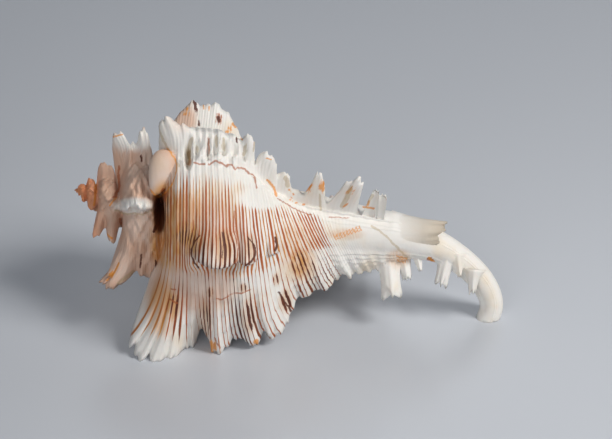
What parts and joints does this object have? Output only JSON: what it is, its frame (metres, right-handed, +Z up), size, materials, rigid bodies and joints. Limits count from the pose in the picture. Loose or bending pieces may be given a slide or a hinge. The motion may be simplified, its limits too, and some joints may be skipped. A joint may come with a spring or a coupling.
{
  "type": "murex shell",
  "caption": "Large spiral sea shell with frilled ridges, leafy spines along three ridges, an oval mouth and a long curved canal, lying at rest.",
  "frame": {"origin": "centre of the footprint, on the surface the shell lies on", "axes": "+X from the tip of the spire towards the end of the canal, +Z up, +Y away from the side with the striped body and towards the mouth"},
  "size_m": [0.1777, 0.119, 0.0934],
  "materials": {
    "shell": "satin natural shell, white with rust-brown spiral lines and a pink-orange spire"
  },
  "bodies": {
    "root": {"shell": "shell"}
  },
  "joints": []
}
